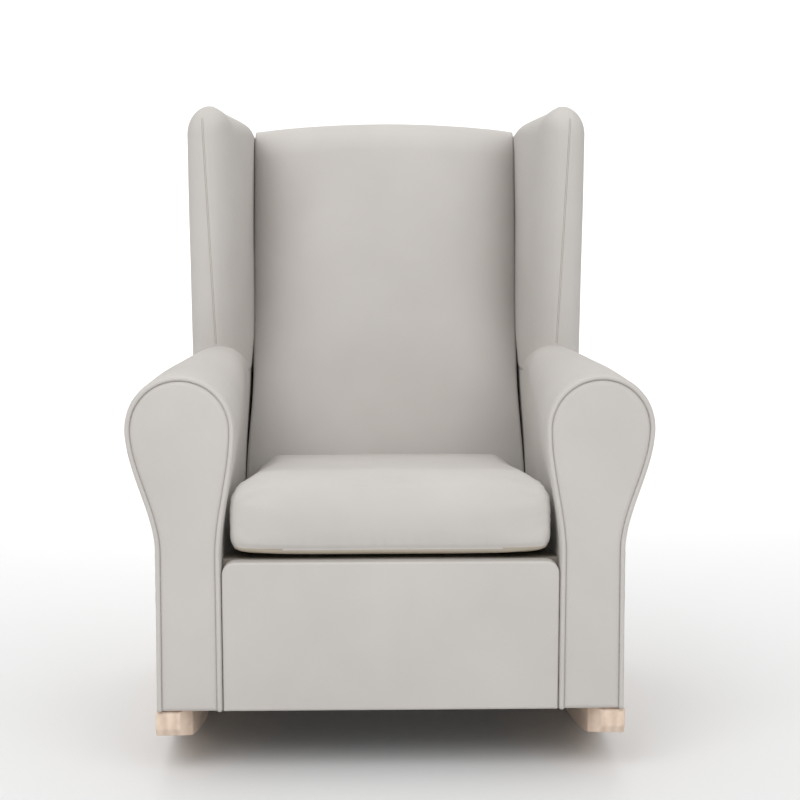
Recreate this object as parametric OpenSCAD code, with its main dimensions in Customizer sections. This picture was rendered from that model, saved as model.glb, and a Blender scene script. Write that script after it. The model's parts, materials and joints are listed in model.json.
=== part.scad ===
// Upholstered wing chair on two curved wooden rockers, with a loose seat cushion.
// X runs across the chair, the seat faces -Y, Z is up. The floor is z = 0.

/* [Overall size] */
// height from the floor to the wing tips
overall_h = 1038; // [960:2:1240]
// depth from the arm fronts to the top of the back
overall_d = 800; // [740:5:960]
// height of the upholstered body above the floor
body_z = 108; // [95:1:130]

/* [Seat] */
// clear width between the inner arm faces at seat height
seat_w = 516; // [440:2:600]
// height of the cushion's underside at the front
seat_z = 346; // [300:2:400]
// slope of the seat down towards the back, in degrees
seat_slope = 6.4; // [2:0.2:9]
// thickness of the loose cushion
cushion_h = 130; // [100:2:156]

/* [Arms] */
// width of each arm, from its inner face at the seat to the outside of its roll
arm_w = 142; // [124:1:170]
// radius of the arm roll at the front
roll_r = 83; // [66:1:96]
// radius of the arm roll where it runs into the wing
roll_rear_r = 46; // [38:1:52]
// height of the arm top
arm_top_z = 628; // [570:2:680]
// padding over the roll and the inner arm
arm_pad_t = 16; // [12:1:20]
// thickness of the welt cord round the arm front
welt_d = 6.6; // [4:0.2:8]

/* [Back and wings] */
// lean of the outer back, in degrees
back_lean = 7; // [3:0.5:12]
// distance from the arm front to the wing's front edge at arm height
wing_setback = 425; // [380:5:470]
// how far the wing's front edge leans forward on its way up
wing_lead = 40; // [0:2:60]
// drop from the wing tips to the corners of the back
top_drop = 29; // [20:1:50]
// rise of the back's top edge in the middle
top_rise = 14; // [0:1:24]
// how far the back pad swells forward in the middle
back_crown = 22; // [5:1:35]

/* [Rockers] */
// width of each rocker
rocker_w = 55; // [40:1:60]
// height of a rocker at its nose
nose_h = 38; // [30:1:46]
// radius of the curved underside
rocker_r = 1540; // [1200:10:1800]
// where the underside is lowest, measured back from the middle of the depth
balance_y = 62; // [-20:1:100]
// diameter of the rocker bolts
bolt_d = 8; // [6:1:10]

/* [Hidden] */
fit_gap = 0.5;
soft_gap = 0.6;
overall_w = seat_w + 2*arm_w;
front_y = -overall_d/2;
back_top_y = overall_d/2;
half_w = overall_w/2;
roll_x = half_w - roll_r;
roll_z = arm_top_z - roll_r;
in_x = seat_w/2;
out_top_x = half_w - 58;
out_low_x = half_w - 42;
rear_roll_x = out_top_x - roll_rear_r;
rear_roll_z = arm_top_z - roll_rear_r;
arm_low_z = seat_z + 2;
waist_z = roll_z - 187;
wing_y = front_y + wing_setback;
wing_low_z = rear_roll_z - 12;
wing_in_x = rear_roll_x - roll_rear_r - 4;
back_slope = tan(back_lean);
seat_tan = tan(seat_slope);
side_t = 6;
panel_t = 10;
board_t = 20;
facing_t = 9;
welt_in = 1.2;
post_d = 45;
post_x0 = wing_in_x + 29;
post_x1 = post_x0 + 40;
board_x0 = post_x1 + 1;
board_x1 = board_x0 + 18;
deck_t = 18;
deck_z = seat_z - 1;
spring_d = 3.6;
rail_t = 24;
rail_z1 = deck_z - deck_t - (31 + rail_t)*seat_tan - spring_d - 1;
rear_seat_y = pad_y(seat_z - 60) + 30;
bottom_rail_h = 42;
rail_x0 = post_x0 + 5;
rail_x1 = out_low_x - 17;
rocker_x1 = half_w - 38;
rocker_x0 = rocker_x1 - rocker_w;
bolt_x = (rocker_x0 + rail_x1)/2;
cushion_edge = 32;
cushion_x = min(in_x - 12, arm_in_x(seat_z + cushion_h - 0.6*cushion_edge) + 0.08*cushion_edge - fit_gap);
frame_cut_x = max(in_x, wing_in_x) + 5;
pad_low_z = deck_at(pad_y(seat_z - 60) - back_crown - 2) + soft_gap;
steps = 8;
wing_tip_r = 28;

wood = [0.86, 0.78, 0.67];
pine = [0.80, 0.66, 0.46];
cloth = [0.79, 0.76, 0.72];
cloth_dark = [0.62, 0.58, 0.53];
steel = [0.62, 0.63, 0.65];
strap = [0.35, 0.34, 0.33];
foam = [0.93, 0.88, 0.70];
lining = [0.13, 0.13, 0.14];

// ---- helpers ----
function mix(a, b, t) = a + (b - a)*t;
function part_of(v, a, b) = max(0, min(1, (v - a)/(b - a)));
function ease(t) = t*t*(3 - 2*t);
function back_y(z) = back_top_y - (overall_h - z)*back_slope;
function pad_y(z) = back_y(overall_h) - 143 - (overall_h - z)*(back_slope + 0.06);
function wing_front_y(z) = wing_y - wing_lead*part_of(z, arm_top_z, overall_h);
function deck_at(y) = deck_z - (y - front_y)*seat_tan;
function arm_in_x(z) = mix(in_x, roll_x - roll_r, ease(part_of(z, arm_low_z, roll_z)));
function rock_z(y) = rocker_r - sqrt(rocker_r*rocker_r - (y - balance_y)*(y - balance_y));

// closed solid through a list of rings that all have the same number of points;
// flip is for rings that run the other way round
module loft(rings, flip = false) {
  n = len(rings[0]);
  m = len(rings);
  sides = [for (k = [0:m - 2], i = [0:n - 1])
    let (a = k*n + i, b = k*n + (i + 1)%n)
    each [[a, b, b + n], [a, b + n, a + n]]];
  faces = concat(sides, [[for (i = [n - 1:-1:0]) i], [for (i = [0:n - 1]) (m - 1)*n + i]]);
  turned = [for (f = faces) [for (i = [len(f) - 1:-1:0]) f[i]]];
  polyhedron(points = [for (r = rings) each r], faces = flip ? turned : faces, convexity = 6);
}

// keeps a padded shape as one plain mesh
module padded_mesh() {
  resize([0, 0, 0]) children();
}

module both_ways(side) {
  if (side > 0) children();
  else mirror([1, 0, 0]) children();
}

// flat shape drawn in Y and Z, run along X from x0 to x1
module across(x0, x1) {
  translate([x0, 0, 0]) rotate([90, 0, 90]) linear_extrude(x1 - x0) children();
}

// flat shape drawn in X and Z, run along Y from y0 to y1
module along(y0, y1) {
  translate([0, y1, 0]) rotate([90, 0, 0]) linear_extrude(y1 - y0) children();
}

module block(x0, x1, y0, y1, z0, z1) {
  translate([x0, y0, z0]) cube([x1 - x0, y1 - y0, z1 - z0]);
}

// slab that leans with the outer back; a and b are distances in front of it
module lean_slab(x0, x1, a, b, z0, z1) {
  across(x0, x1) polygon([[back_y(z0) - a, z0], [back_y(z0) - b, z0],
    [back_y(z1) - b, z1], [back_y(z1) - a, z1]]);
}

// slab that slopes with the seat; lo and hi are heights relative to the deck's top
module slope_slab(x0, x1, y0, y1, lo, hi) {
  across(x0, x1) polygon([[y0, deck_at(y0) + lo], [y1, deck_at(y1) + lo],
    [y1, deck_at(y1) + hi], [y0, deck_at(y0) + hi]]);
}

// ---- arms ----
// outline of an arm at depth y, drawn in X and Z, shrunk by ti inside and over the roll
// and by so on the outer side; foot is the height of its lower end
function arm_shape(y, ti, so, foot) =
  let (t = ease(part_of(y, front_y, wing_y)*0.5)*2,
    r = mix(roll_r, roll_rear_r, t) - ti,
    ro = mix(roll_r, roll_rear_r, t) - so,
    cx = mix(roll_x, rear_roll_x, t),
    cz = mix(roll_z, rear_roll_z, t),
    xi = in_x + ti,
    xo = mix(out_low_x, out_low_x - 12, t) - so,
    xb = xo + mix(2, 5, t))
  concat([[xi, foot]],
    [for (i = [0:steps]) let (k = i/steps)
      [mix(xi, cx - r, ease(k)), mix(arm_low_z, cz, k)]],
    [for (i = [1:2*steps - 1]) let (a = 180 - 90*i/steps)
      [cx + (i > steps ? ro : r)*cos(a), cz + r*sin(a)]],
    [for (i = [0:steps]) let (k = i/steps)
      [mix(cx + ro, xo, ease(k)), mix(cz, waist_z, k)]],
    [[xb, foot]]);

function arm_ring(y, ti, so, foot) = [for (p = arm_shape(y, ti, so, foot)) [p[0], y, p[1]]];
function arm_rear_ring(ti, so, foot, a) =
  [for (p = arm_shape(wing_y, ti, so, foot)) [p[0], back_y(p[1]) - a, p[1]]];

module arm_solid() {
  foot = body_z + soft_gap;
  loft(concat(
    [arm_ring(front_y + facing_t + fit_gap, welt_in, welt_in, foot)],
    [for (i = [0:4]) arm_ring(mix(front_y + 14, wing_y, i/4), 0, 0, foot)],
    [arm_rear_ring(0, 0, foot, panel_t + fit_gap)]), flip = true);
}

module arm_hollow() {
  foot = body_z - 5;
  loft(concat(
    [arm_ring(front_y + 7, arm_pad_t, side_t + 5, foot)],
    [for (i = [0:4]) arm_ring(mix(front_y + 14, wing_y, i/4), arm_pad_t, side_t, foot)],
    [arm_rear_ring(arm_pad_t, side_t, foot, -20)]), flip = true);
}

module arm_front_shape(inset, foot) {
  polygon(arm_shape(front_y, inset, inset, foot));
}

module arm_shell() {
  difference() {
    arm_solid();
    arm_hollow();
    wing_envelope(soft_gap);
  }
}

module seat_side_cut() {
  block(0, in_x + arm_pad_t + 2, front_y + 30, overall_d, 0, rail_z1 - 64);
  block(0, in_x + arm_pad_t + 2, front_y + 28, front_y + 32 + rail_t, 0, rail_z1 + fit_gap);
}

module under_roll(grow) {
  block(roll_x - grow, overall_w, front_y - 10, overall_d, 0, roll_z - 40 + grow);
}

// room for the back frame inside the arms and wings
module back_frame_cut(x1, z0, z1) {
  lean_slab(0, x1, panel_t + post_d + 5, -20, z0, z1);
}

module arm_pad(side) {
  color(cloth) both_ways(side) padded_mesh() difference() {
    arm_shell();
    under_roll(soft_gap);
    seat_side_cut();
    block(0, in_x + arm_pad_t + 1, rear_seat_y - 1, overall_d, 0, rail_z1);
    back_frame_cut(post_x1 + 1, 0, overall_h);
  }
}

module side_panel(side) {
  color(cloth) both_ways(side) padded_mesh() intersection() {
    arm_shell();
    under_roll(0);
  }
}

module arm_facing(side) {
  color(cloth) both_ways(side)
    along(front_y + 1, front_y + facing_t)
      arm_front_shape(welt_in + welt_d + soft_gap, body_z + soft_gap);
}

module arm_welt(side) {
  color(cloth) both_ways(side) along(front_y, front_y + facing_t - 1) difference() {
    arm_front_shape(welt_in, body_z + soft_gap);
    arm_front_shape(welt_in + welt_d, body_z - 5);
  }
}

module arm_board(side) {
  color(pine) both_ways(side)
    along(front_y + facing_t + fit_gap, front_y + facing_t + fit_gap + board_t)
      polygon(arm_shape(front_y + 44, arm_pad_t + 2.5, side_t + 4, body_z + fit_gap));
}

module arm_rail_cut(grow) {
  block(post_x0 + 10 - grow, post_x1 - 3 + grow, front_y + facing_t + board_t + 1,
    back_y(rear_roll_z) - panel_t - post_d - 6 + grow, rear_roll_z - 20 - grow, rear_roll_z + 2 + grow);
}

module arm_rail(side) {
  color(pine) both_ways(side) arm_rail_cut(0);
}

// ---- wings ----
// point at t on the smooth curve from a to d that heads for b and comes from c
function curve(a, b, c, d, t) =
  a*pow(1 - t, 3) + 3*b*t*pow(1 - t, 2) + 3*c*t*t*(1 - t) + d*pow(t, 3);

// plan outline of a wing at height fraction s; grow swells it
function wing_ring(s, grow) =
  let (zr = mix(wing_low_z, overall_h, s),
    yf = wing_front_y(zr) - grow,
    yb = back_y(zr),
    r = 32 + grow,
    over = part_of(s, 0.9, 1),
    shrink = wing_tip_r*(1 - sqrt(1 - over*over)),
    xo = out_top_x + grow - shrink,
    xi = wing_in_x - grow + shrink,
    cx = out_top_x - 32,
    cy = yf + r,
    yp = min(yb - 40, pad_y(zr) + 12),
    pts = concat(
      [[xi, yb], [xi, yp]],
      [for (i = [1:7]) curve([xi, yp], [xi, yf + 80], [cx - 50, yf + 30],
        [cx + (r - shrink)*cos(235), cy + (r - shrink)*sin(235)], i/8)],
      [for (i = [0:3]) let (a = 235 + 35*i/3)
        [cx + (r - shrink)*cos(a), cy + (r - shrink)*sin(a)]],
      [for (i = [1:6]) let (a = 270 + 15*i)
        [cx + (r - shrink)*cos(a), cy + (r - shrink)*sin(a)]],
      [[xo, yb]]))
  [for (p = pts)
    let (f = part_of(p[1], yf, yb), zt = overall_h - top_drop*1.25*f)
    [p[0], p[1], mix(wing_low_z - grow, zt + grow, s)]];

module wing_envelope(grow) {
  parts = [0, 0.25, 0.5, 0.75, 0.9, 0.93, 0.955, 0.975, 0.99, 0.998, 1];
  loft([for (s = parts) wing_ring(s, grow)], flip = true);
}

module wing_board_shape(grow) {
  zt = overall_h - top_drop - 34 + grow;
  zl = wing_low_z - 150 - grow;
  polygon([[wing_y + 60 - grow, zl], [back_y(zl) - panel_t - 3 + grow, zl],
    [back_y(zt) - panel_t - 3 + grow, zt], [wing_front_y(zt) + 60 - grow, zt],
    [wing_front_y(zt) + 28 - grow, zt - 30], [wing_front_y(arm_top_z) + 28 - grow, arm_top_z],
    [wing_y + 60 - grow, wing_low_z - 20]]);
}

module wing_board_cut(grow) {
  across(board_x0 - grow, board_x1 + grow) wing_board_shape(grow);
}

module post_cut(grow) {
  lean_slab(post_x0 - grow, post_x1 + grow, panel_t + 1 + post_d + grow, panel_t + 1 - grow,
    body_z + bottom_rail_h + 1 - grow, overall_h - top_drop - 45 + grow);
}

module wing_board(side) {
  color(pine) both_ways(side) wing_board_cut(0);
}

module back_post(side) {
  color(pine) both_ways(side) post_cut(0);
}

module wing_pad(side) {
  color(cloth) both_ways(side) padded_mesh() difference() {
    wing_envelope(0);
    wing_board_cut(fit_gap);
    translate([0, 0, -60]) wing_board_cut(fit_gap);
    post_cut(fit_gap);
    arm_rail_cut(fit_gap);
    back_panel_cut(fit_gap);
    top_rail_cut(fit_gap);
    back_frame_cut(post_x0 + 8, 0, overall_h - top_drop - 45 + fit_gap);
  }
}

// ---- back ----
function pad_ring(s) =
  let (zc = overall_h - top_drop,
    z0 = pad_low_z,
    zr = mix(z0, zc, s),
    roll = 50,
    over = part_of(zr, zc - roll, zc),
    lift = roll*(1 - sqrt(max(0, 1 - over*over))),
    yb = back_y(zr),
    hw = pad_half_w(zr))
  [for (p = concat(
      [[hw, yb]],
      [for (i = [0:10]) let (u = 1 - 2*i/10) [hw*u, 0]],
      [[-hw, yb]]))
    let (u = abs(p[0])/hw,
      edge = 34*pow(u, 8),
      yfront = min(yb - 8, pad_y(zr) - back_crown*(1 - u*u) + edge + lift),
      y = p[1] == 0 ? yfront : yb,
      top = zc + top_rise*(1 - u*u))
    [p[0], y, mix(z0, top, s)]];

// half width: between the arms below the wings, between the wings above
function pad_half_w(z) = (z > wing_low_z - 8 ? wing_in_x
  : mix(in_x, wing_in_x + 4, ease(part_of(z, arm_low_z, rear_roll_z)))
    - 0.03*abs(wing_in_x - in_x)) - soft_gap;

module pad_solid() {
  high = overall_h - top_drop - pad_low_z;
  s1 = (wing_low_z - 14 - pad_low_z)/high;
  s2 = (wing_low_z - 4 - pad_low_z)/high;
  loft(concat([for (i = [0:4]) pad_ring(s1*i/4)],
    [for (t = [0, 0.35, 0.7, 0.886, 0.93, 0.96, 0.984, 1]) pad_ring(mix(s2, 1, t))]));
}

module back_panel_cut(grow) {
  lean_slab(-post_x1 - 14 - grow, post_x1 + 14 + grow, panel_t + grow, -20,
    body_z - 5, overall_h - top_drop - 40 + grow);
}

module top_rail_cut(grow) {
  lean_slab(-post_x0 + fit_gap - grow, post_x0 - fit_gap + grow, panel_t + 1 + post_d + grow,
    panel_t + 1 - grow, overall_h - top_drop - 105, overall_h - top_drop - 45 + grow);
}

module back_pad() {
  color(cloth) padded_mesh() difference() {
    pad_solid();
    lean_slab(-frame_cut_x, frame_cut_x, panel_t + post_d + 5, -20, body_z, overall_h - top_drop - 44);
    lean_slab(-frame_cut_x, frame_cut_x, panel_t + fit_gap, -20, body_z, overall_h - top_drop - 40 + fit_gap);
  }
}

module back_top_rail() {
  color(pine) lean_slab(-post_x0 + fit_gap, post_x0 - fit_gap, panel_t + 1 + post_d - 20, panel_t + 1,
    overall_h - top_drop - 105, overall_h - top_drop - 45);
}

module back_low_rail() {
  color(pine) lean_slab(-post_x0 + fit_gap, post_x0 - fit_gap, panel_t + 1 + post_d - 20, panel_t + 1,
    seat_z, seat_z + 60);
}

module back_webbing() {
  span = overall_h - top_drop - 50 - seat_z;
  strap_w = 50;
  count = 4;
  color(strap) {
    for (i = [1:count])
      lean_slab(-post_x0 - 7, post_x0 + 7, panel_t + post_d + 4, panel_t + post_d + 1.8,
        seat_z + span*i/(count + 1) - strap_w/2, seat_z + span*i/(count + 1) + strap_w/2);
  }
}

module back_panel() {
  color(cloth) lean_slab(-post_x1 - 14, post_x1 + 14, panel_t, 0,
    body_z + soft_gap, overall_h - top_drop - 40);
}

// ---- seat frame ----
module seat_rail(side) {
  color(pine) both_ways(side)
    block(in_x - 6, in_x - 6 + rail_t, front_y + 33 + rail_t, rear_seat_y - 1,
      rail_z1 - 115, rail_z1 - 65);
}

module seat_rail_front() {
  color(pine) block(-in_x - arm_pad_t - 1, in_x + arm_pad_t + 1, front_y + 31, front_y + 31 + rail_t,
    rail_z1 - 70, rail_z1);
}

module seat_rail_rear() {
  color(pine) block(-in_x - arm_pad_t, in_x + arm_pad_t, rear_seat_y, rear_seat_y + rail_t,
    rear_rail_z() - 60, rear_rail_z());
}

function rear_rail_z() = rail_z1 - (rear_seat_y + rail_t/2 - front_y - 31 - rail_t/2)*seat_tan;

module corner_blocks() {
  leg = 48;
  z0 = rail_z1 - 108;
  color(pine) for (sx = [-1, 1]) both_ways(sx) {
    translate([in_x - 7, front_y + 34 + rail_t, z0]) linear_extrude(36)
      polygon([[0, 0], [-leg, 0], [0, leg]]);
    translate([in_x - 7, rear_seat_y - 2, z0]) linear_extrude(36)
      polygon([[0, 0], [-leg, 0], [0, -leg]]);
  }
}

module bottom_rail(side) {
  color(pine) both_ways(side) difference() {
    block(rail_x0, rail_x1, front_y + facing_t + board_t + 1.5, back_y(body_z) - panel_t - 1,
      body_z, body_z + bottom_rail_h);
    for (y = bolt_ys())
      translate([bolt_x, y, body_z - 1]) cylinder(h = bottom_rail_h + 2, d = bolt_d + 3.4, $fn = 32);
  }
}

function bolt_ys() = [front_y + 150, (front_y + back_y(body_z))/2 + 20, back_y(body_z) - 90];

module bottom_rail_front() {
  color(pine) block(-rail_x0 + 1, rail_x0 - 1, front_y + 32 + 2, front_y + 32 + 2 + rail_t,
    body_z + 1, body_z + bottom_rail_h);
}

module bottom_rail_rear() {
  color(pine) block(-rail_x0 + 1, rail_x0 - 1, back_y(body_z) - 62, back_y(body_z) - 62 + rail_t,
    body_z + 1, body_z + bottom_rail_h);
}

module seat_springs() {
  y0 = front_y + 31 + rail_t/2;
  y1 = rear_seat_y + rail_t/2;
  pitch = 24;
  loops = floor((y1 - y0)/pitch) - 1;
  reach = 20;
  lead = ((y1 - y0)/cos(seat_slope) - loops*pitch)/2;
  color(steel) for (x = [-1.5:1:1.5])
    translate([x*in_x*0.42, y0, rail_z1 + 1]) rotate([-seat_slope, 0, 0])
      linear_extrude(spring_d, convexity = 8) spring_line(loops, pitch, reach, lead);
}

module spring_line(loops, pitch, reach, lead) {
  w = spring_d;
  r = pitch/2;
  translate([-w/2, 0]) square([w, lead]);
  translate([-w/2, lead + loops*pitch]) square([w, lead]);
  for (i = [0:loops]) translate([0, lead + i*pitch]) {
    if (i == 0) translate([-w/2, -w/2]) square([reach + w/2, w]);
    if (i == loops) translate([i%2 == 0 ? -reach : -w/2, -w/2]) square([reach + w/2, w]);
    if (i > 0 && i < loops) translate([-reach, -w/2]) square([2*reach, w]);
  }
  for (i = [0:loops - 1]) translate([(i%2 == 0 ? 1 : -1)*reach, lead + (i + 0.5)*pitch])
    intersection() {
      difference() {
        circle(r = r + w/2, $fn = 24);
        circle(r = r - w/2, $fn = 24);
      }
      translate([i%2 == 0 ? 0 : -2*r, -2*r]) square([2*r, 4*r]);
    }
}

module spring_clips() {
  color(steel) for (x = [-1.5:1:1.5]) {
    block(x*in_x*0.42 - 9, x*in_x*0.42 + 9, front_y + 31, front_y + 31 + 6,
      rail_z1 + 0.2, rail_z1 + 5);
    block(x*in_x*0.42 - 9, x*in_x*0.42 + 9, rear_seat_y + rail_t - 6, rear_seat_y + rail_t,
      rear_rail_z() + 0.2, rear_rail_z() + 4);
  }
}

module seat_deck() {
  color(cloth_dark) slope_slab(-in_x + soft_gap, in_x - soft_gap, front_y + 30 + fit_gap, rear_seat_y - 34,
    -deck_t, 0);
}

module apron() {
  r = 20;
  w = in_x - soft_gap;
  h = deck_at(front_y + 30) - soft_gap;
  color(cloth) along(front_y + 4, front_y + 30) union() {
    translate([-w, body_z + soft_gap]) square([2*w, h - body_z - soft_gap - r]);
    translate([-w + r, body_z + soft_gap]) square([2*w - 2*r, h - body_z - soft_gap]);
    for (sx = [-1, 1]) translate([sx*(w - r), h - r]) circle(r = r, $fn = 48);
  }
}

module dust_cover() {
  color(lining) block(-rail_x0 + 6, rail_x0 - 6, front_y + 34, back_y(body_z) - 40,
    body_z - 0.8, body_z + 0.6);
}

// ---- rockers ----
module rocker_shape() {
  seg = 46;
  y0 = front_y + 6;
  y1 = back_top_y - 4;
  n0 = floor((balance_y - seg/2 - y0)/seg);
  n1 = floor((y1 - balance_y - seg/2)/seg);
  lowest = rocker_r - sqrt(rocker_r*rocker_r - seg*seg/4);
  ys = concat([y0 + 7], [for (i = [-n0:1:n1 + 1]) balance_y + (i - 0.5)*seg], [y1 - 8]);
  ztip = rock_z(y1) - lowest;
  znose = rock_z(y0) - lowest;
  polygon(concat(
    [[y0, znose + 10]],
    [for (y = ys) [y, rock_z(y) - lowest]],
    [[y1, ztip + 10], [y1, ztip + nose_h - 6], [y1 - 10, ztip + nose_h],
      [back_y(body_z) + 2, body_z - 1], [back_y(body_z) - 12, body_z - 1],
      [y0 + 40, body_z - 1], [y0 + 4, body_z - 1], [y0, body_z - 5]]));
}

module rocker(side) {
  notch = 17;
  color(wood) both_ways(side) difference() {
    across(rocker_x0, rocker_x1) rocker_shape();
    translate([rocker_x0, front_y + 6, 0]) linear_extrude(body_z)
      polygon([[-1, -1], [notch, -1], [notch, 0], [0, 24], [-1, 24]]);
    for (y = bolt_ys()) translate([bolt_x, y, -1]) {
      cylinder(h = body_z + 2, d = bolt_d + 1, $fn = 32);
      cylinder(h = rock_z(y) + 24, d = 26, $fn = 32);
    }
  }
}

module rocker_bolts() {
  color(steel) for (sx = [-1, 1], y = bolt_ys()) translate([sx*bolt_x, y, rock_z(y) + 23]) {
    translate([0, 0, -6]) cylinder(h = 6 - 2.1, d = 14, $fn = 6);
    translate([0, 0, -2.2]) cylinder(h = body_z + bottom_rail_h - rock_z(y) - 23, d = bolt_d, $fn = 32);
  }
}

module rocker_washers() {
  color(steel) for (sx = [-1, 1], y = bolt_ys()) translate([sx*bolt_x, y, rock_z(y) + 20.95])
    difference() {
      cylinder(h = 2, d = 22, $fn = 32);
      translate([0, 0, -1]) cylinder(h = 4, d = bolt_d + 0.6, $fn = 32);
    }
}

module rocker_nuts() {
  color(steel) for (sx = [-1, 1], y = bolt_ys())
    translate([sx*bolt_x, y, body_z + bottom_rail_h]) difference() {
      union() {
        cylinder(h = 2, d = 24, $fn = 32);
        translate([0, 0, -18]) cylinder(h = 19, d = bolt_d + 3, $fn = 32);
      }
      translate([0, 0, -20]) cylinder(h = 30, d = bolt_d + 0.2, $fn = 32);
    }
}

// ---- loose cushion ----
function cushion_y0() = front_y + 3;
function cushion_rear(z) = pad_y(z) - back_crown - 2;

module cushion_body() {
  near_y = cushion_y0() + cushion_edge;
  xs = cushion_x - cushion_edge;
  hull() for (sx = [-1, 1], top = [0, 1], rear = [0, 1]) {
    y = rear == 0 ? near_y : cushion_rear(seat_z - 30 + top*(cushion_h - 60)) - cushion_edge;
    z = deck_at(y) + 1 + (top == 0 ? cushion_edge : cushion_h - cushion_edge);
    translate([sx*xs, y, z]) sphere(r = cushion_edge, $fn = 32);
  }
}

module cushion_pocket(grow) {
  x = cushion_x - 13 + grow;
  y0 = cushion_y0() + 14 - grow;
  y1 = cushion_rear(seat_z) - 36 + grow;
  slope_slab(-x, x, y0, y1, -20, cushion_h - 14 + grow);
}

module cushion_cover() {
  color(cloth) padded_mesh() difference() {
    cushion_body();
    cushion_pocket(fit_gap);
    slope_slab(-cushion_x - 5, cushion_x + 5, front_y - 50, overall_d, -20, 12);
  }
}

module cushion_base() {
  color(cloth_dark) padded_mesh() intersection() {
    cushion_body();
    slope_slab(-cushion_x - 5, cushion_x + 5, front_y - 50, overall_d, -20, 12 - soft_gap);
  }
}

module cushion_foam() {
  color(foam) intersection() {
    cushion_pocket(0);
    slope_slab(-cushion_x - 5, cushion_x + 5, front_y - 50, overall_d, 12, cushion_h);
  }
}

rocker(-1);  // rocker_left
rocker(1);  // rocker_right
rocker_bolts();
rocker_washers();
rocker_nuts();
bottom_rail(-1);  // bottom_rail_left
bottom_rail(1);  // bottom_rail_right
bottom_rail_front();
bottom_rail_rear();
seat_rail(-1);  // seat_rail_left
seat_rail(1);  // seat_rail_right
seat_rail_front();
seat_rail_rear();
corner_blocks();
arm_board(-1);  // arm_board_left
arm_board(1);  // arm_board_right
arm_rail(-1);  // arm_rail_left
arm_rail(1);  // arm_rail_right
back_post(-1);  // back_post_left
back_post(1);  // back_post_right
back_top_rail();
back_low_rail();
wing_board(-1);  // wing_board_left
wing_board(1);  // wing_board_right
seat_springs();
spring_clips();
back_webbing();
seat_deck();
apron();
arm_pad(-1);  // arm_pad_left
arm_pad(1);  // arm_pad_right
arm_facing(-1);  // arm_facing_left
arm_facing(1);  // arm_facing_right
arm_welt(-1);  // arm_welt_left
arm_welt(1);  // arm_welt_right
side_panel(-1);  // side_panel_left
side_panel(1);  // side_panel_right
wing_pad(-1);  // wing_pad_left
wing_pad(1);  // wing_pad_right
back_pad();
back_panel();
dust_cover();
cushion_cover();
cushion_base();
cushion_foam();
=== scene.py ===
import json
import math
import bmesh
import bpy
from mathutils import Euler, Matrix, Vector, noise
from mathutils.bvhtree import BVHTree
from mathutils.kdtree import KDTree


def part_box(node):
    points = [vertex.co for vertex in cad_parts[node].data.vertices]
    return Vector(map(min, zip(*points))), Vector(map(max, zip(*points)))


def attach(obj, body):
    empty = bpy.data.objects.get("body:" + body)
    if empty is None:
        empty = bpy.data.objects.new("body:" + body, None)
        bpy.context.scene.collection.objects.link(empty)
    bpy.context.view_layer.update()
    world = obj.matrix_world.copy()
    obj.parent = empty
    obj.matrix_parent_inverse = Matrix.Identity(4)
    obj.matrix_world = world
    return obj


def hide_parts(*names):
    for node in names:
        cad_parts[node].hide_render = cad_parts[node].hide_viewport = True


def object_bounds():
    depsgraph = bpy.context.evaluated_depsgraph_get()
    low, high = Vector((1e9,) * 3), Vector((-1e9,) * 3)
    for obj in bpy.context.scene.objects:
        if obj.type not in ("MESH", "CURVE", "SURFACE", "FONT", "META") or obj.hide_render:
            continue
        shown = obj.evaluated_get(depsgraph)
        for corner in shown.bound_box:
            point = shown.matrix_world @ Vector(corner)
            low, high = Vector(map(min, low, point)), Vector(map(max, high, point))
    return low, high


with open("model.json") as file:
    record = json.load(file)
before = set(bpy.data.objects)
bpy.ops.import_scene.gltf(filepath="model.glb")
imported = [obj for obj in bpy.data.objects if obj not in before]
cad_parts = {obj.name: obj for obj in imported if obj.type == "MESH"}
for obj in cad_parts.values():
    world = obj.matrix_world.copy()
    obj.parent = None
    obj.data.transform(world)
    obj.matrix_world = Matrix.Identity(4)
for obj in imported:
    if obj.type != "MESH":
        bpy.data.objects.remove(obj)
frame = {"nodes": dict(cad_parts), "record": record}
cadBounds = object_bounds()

scene = bpy.context.scene
rightLeft = ((1, "right"), (-1, "left"))


# small helpers

def mix(a, b, t):
    return a + (b - a) * t


def ramp(v, a, b):
    t = max(0.0, min(1.0, (v - a) / (b - a)))
    return t * t * (3 - 2 * t)


def span(v, a, b):
    return max(0.0, min(1.0, (v - a) / (b - a)))


def toObject(bm, name, materials, smooth=True):
    mesh = bpy.data.meshes.new(name)
    for face in bm.faces:
        face.smooth = smooth
    bm.to_mesh(mesh)
    bm.free()
    obj = bpy.data.objects.new(name, mesh)
    bpy.context.collection.objects.link(obj)
    for material in materials:
        mesh.materials.append(material)
    return obj


def facesOut(bm):
    bmesh.ops.remove_doubles(bm, verts=bm.verts, dist=1e-6)
    bmesh.ops.recalc_face_normals(bm, faces=bm.faces)


def openEdges(bm):
    return [e for e in bm.edges if e.is_boundary]


def fillHoles(bm):
    bmesh.ops.holes_fill(bm, edges=openEdges(bm), sides=0)


def splitLargeFaces(bm):
    bmesh.ops.triangulate(bm, faces=[f for f in bm.faces if len(f.verts) > 4])


def newVerts(made):
    return [g for g in made["geom"] if isinstance(g, bmesh.types.BMVert)]


# keep what lies behind the plane and close the cut
def cutAway(bm, spot, aim):
    everything = bm.verts[:] + bm.edges[:] + bm.faces[:]
    bmesh.ops.bisect_plane(bm, geom=everything, plane_co=spot, plane_no=aim, clear_outer=True)
    fillHoles(bm)


# grid whose point (u, v) goes to place(u, v)
def gridSheet(columns, rows, place):
    bm = bmesh.new()
    bmesh.ops.create_grid(bm, x_segments=columns, y_segments=rows, size=0.5)
    for vert in bm.verts:
        vert.co = place(vert.co.x + 0.5, vert.co.y + 0.5)
    return bm


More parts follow.
